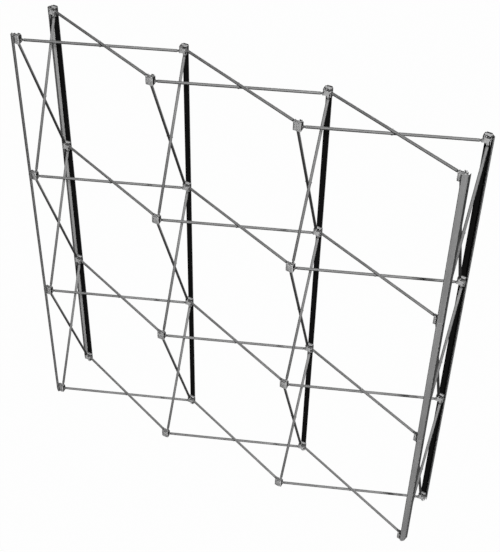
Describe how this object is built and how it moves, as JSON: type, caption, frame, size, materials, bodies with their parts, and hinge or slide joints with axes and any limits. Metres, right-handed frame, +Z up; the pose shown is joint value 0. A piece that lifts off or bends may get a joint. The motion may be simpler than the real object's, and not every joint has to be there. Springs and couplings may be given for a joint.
{
  "type": "pop up display backwall",
  "caption": "Free-standing pop-up display frame of crossed aluminium tubes between hubs, with sectional channel bars that carry flat panels on its front and round its ends.",
  "frame": {"origin": "centre of the whole part's footprint, on the floor", "axes": "+Z up, front (panel side) towards -Y, +X to the right as seen from the front"},
  "size_m": [2.1296, 0.3226, 2.28],
  "materials": {
    "tube_aluminium": "satin",
    "bar_aluminium": "satin",
    "hub_plastic": "matt moulded",
    "end_plastic": "matt moulded",
    "magnet_strip": "matt",
    "rivet_steel": "satin"
  },
  "bodies": {
    "root": {"level_1_tubes": "tube_aluminium", "level_2_tubes": "tube_aluminium", "level_3_tubes": "tube_aluminium", "level_4_tubes": "tube_aluminium", "column_1_tubes": "tube_aluminium", "column_2_tubes": "tube_aluminium", "column_3_tubes": "tube_aluminium", "column_4_tubes": "tube_aluminium", "level_tube_ends": "end_plastic", "column_tube_ends": "end_plastic", "scissor_rivets": "rivet_steel", "hub_pins": "rivet_steel", "row_1_hubs": "hub_plastic", "row_2_hubs": "hub_plastic", "row_3_hubs": "hub_plastic", "row_4_hubs": "hub_plastic", "rear_bar_brackets": "hub_plastic"},
    "front_bar_1_middle": {"front_bar_1_middle": "bar_aluminium", "front_strip_1_middle": "magnet_strip", "front_hinge_pins_1": "rivet_steel"},
    "front_bar_1_upper": {"front_bar_1_upper": "bar_aluminium", "front_strip_1_upper": "magnet_strip"},
    "front_bar_1_lower": {"front_bar_1_lower": "bar_aluminium", "front_strip_1_lower": "magnet_strip"},
    "front_bar_2_middle": {"front_bar_2_middle": "bar_aluminium", "front_strip_2_middle": "magnet_strip", "front_hinge_pins_2": "rivet_steel"},
    "front_bar_2_upper": {"front_bar_2_upper": "bar_aluminium", "front_strip_2_upper": "magnet_strip"},
    "front_bar_2_lower": {"front_bar_2_lower": "bar_aluminium", "front_strip_2_lower": "magnet_strip"},
    "front_bar_3_middle": {"front_bar_3_middle": "bar_aluminium", "front_strip_3_middle": "magnet_strip", "front_hinge_pins_3": "rivet_steel"},
    "front_bar_3_upper": {"front_bar_3_upper": "bar_aluminium", "front_strip_3_upper": "magnet_strip"},
    "front_bar_3_lower": {"front_bar_3_lower": "bar_aluminium", "front_strip_3_lower": "magnet_strip"},
    "front_bar_4_middle": {"front_bar_4_middle": "bar_aluminium", "front_strip_4_middle": "magnet_strip", "front_hinge_pins_4": "rivet_steel"},
    "front_bar_4_upper": {"front_bar_4_upper": "bar_aluminium", "front_strip_4_upper": "magnet_strip"},
    "front_bar_4_lower": {"front_bar_4_lower": "bar_aluminium", "front_strip_4_lower": "magnet_strip"},
    "rear_bar_1_middle": {"rear_bar_1_middle": "bar_aluminium", "rear_strip_1_middle": "magnet_strip", "rear_hinge_pins_1": "rivet_steel"},
    "rear_bar_1_upper": {"rear_bar_1_upper": "bar_aluminium", "rear_strip_1_upper": "magnet_strip"},
    "rear_bar_1_lower": {"rear_bar_1_lower": "bar_aluminium", "rear_strip_1_lower": "magnet_strip"},
    "rear_bar_4_middle": {"rear_bar_4_middle": "bar_aluminium", "rear_strip_4_middle": "magnet_strip", "rear_hinge_pins_4": "rivet_steel"},
    "rear_bar_4_upper": {"rear_bar_4_upper": "bar_aluminium", "rear_strip_4_upper": "magnet_strip"},
    "rear_bar_4_lower": {"rear_bar_4_lower": "bar_aluminium", "rear_strip_4_lower": "magnet_strip"}
  },
  "joints": [
    {"name": "front_bar_1_pull_off", "type": "slide", "parent": "root", "child": "front_bar_1_middle", "axis": [0, -1, 0], "range_m": [0, 0.05]},
    {"name": "front_bar_1_upper_fold", "type": "hinge", "parent": "front_bar_1_middle", "child": "front_bar_1_upper", "pos_m": [-1.035, -0.15933, 1.5125], "axis": [1, 0, 0], "range_deg": [0, 90]},
    {"name": "front_bar_1_lower_fold", "type": "hinge", "parent": "front_bar_1_middle", "child": "front_bar_1_lower", "pos_m": [-1.035, -0.15933, 0.7675], "axis": [-1, 0, 0], "range_deg": [0, 90]},
    {"name": "front_bar_2_pull_off", "type": "slide", "parent": "root", "child": "front_bar_2_middle", "axis": [0, -1, 0], "range_m": [0, 0.05]},
    {"name": "front_bar_2_upper_fold", "type": "hinge", "parent": "front_bar_2_middle", "child": "front_bar_2_upper", "pos_m": [-0.345, -0.15933, 1.5125], "axis": [1, 0, 0], "range_deg": [0, 90]},
    {"name": "front_bar_2_lower_fold", "type": "hinge", "parent": "front_bar_2_middle", "child": "front_bar_2_lower", "pos_m": [-0.345, -0.15933, 0.7675], "axis": [-1, 0, 0], "range_deg": [0, 90]},
    {"name": "front_bar_3_pull_off", "type": "slide", "parent": "root", "child": "front_bar_3_middle", "axis": [0, -1, 0], "range_m": [0, 0.05]},
    {"name": "front_bar_3_upper_fold", "type": "hinge", "parent": "front_bar_3_middle", "child": "front_bar_3_upper", "pos_m": [0.345, -0.15933, 1.5125], "axis": [1, 0, 0], "range_deg": [0, 90]},
    {"name": "front_bar_3_lower_fold", "type": "hinge", "parent": "front_bar_3_middle", "child": "front_bar_3_lower", "pos_m": [0.345, -0.15933, 0.7675], "axis": [-1, 0, 0], "range_deg": [0, 90]},
    {"name": "front_bar_4_pull_off", "type": "slide", "parent": "root", "child": "front_bar_4_middle", "axis": [0, -1, 0], "range_m": [0, 0.05]},
    {"name": "front_bar_4_upper_fold", "type": "hinge", "parent": "front_bar_4_middle", "child": "front_bar_4_upper", "pos_m": [1.035, -0.15933, 1.5125], "axis": [1, 0, 0], "range_deg": [0, 90]},
    {"name": "front_bar_4_lower_fold", "type": "hinge", "parent": "front_bar_4_middle", "child": "front_bar_4_lower", "pos_m": [1.035, -0.15933, 0.7675], "axis": [-1, 0, 0], "range_deg": [0, 90]},
    {"name": "rear_bar_1_pull_off", "type": "slide", "parent": "root", "child": "rear_bar_1_middle", "axis": [-0.5592, 0.829, 0], "range_m": [0, 0.05]},
    {"name": "rear_bar_1_upper_fold", "type": "hinge", "parent": "rear_bar_1_middle", "child": "rear_bar_1_upper", "pos_m": [-1.04951, 0.15363, 1.5125], "axis": [-0.829, -0.5592, 0], "range_deg": [0, 90]},
    {"name": "rear_bar_1_lower_fold", "type": "hinge", "parent": "rear_bar_1_middle", "child": "rear_bar_1_lower", "pos_m": [-1.04951, 0.15363, 0.7675], "axis": [0.829, 0.5592, 0], "range_deg": [0, 90]},
    {"name": "rear_bar_4_pull_off", "type": "slide", "parent": "root", "child": "rear_bar_4_middle", "axis": [0.5592, 0.829, 0], "range_m": [0, 0.05]},
    {"name": "rear_bar_4_upper_fold", "type": "hinge", "parent": "rear_bar_4_middle", "child": "rear_bar_4_upper", "pos_m": [1.04951, 0.15363, 1.5125], "axis": [-0.829, 0.5592, 0], "range_deg": [0, 90]},
    {"name": "rear_bar_4_lower_fold", "type": "hinge", "parent": "rear_bar_4_middle", "child": "rear_bar_4_lower", "pos_m": [1.04951, 0.15363, 0.7675], "axis": [0.829, -0.5592, 0], "range_deg": [0, 90]}
  ]
}
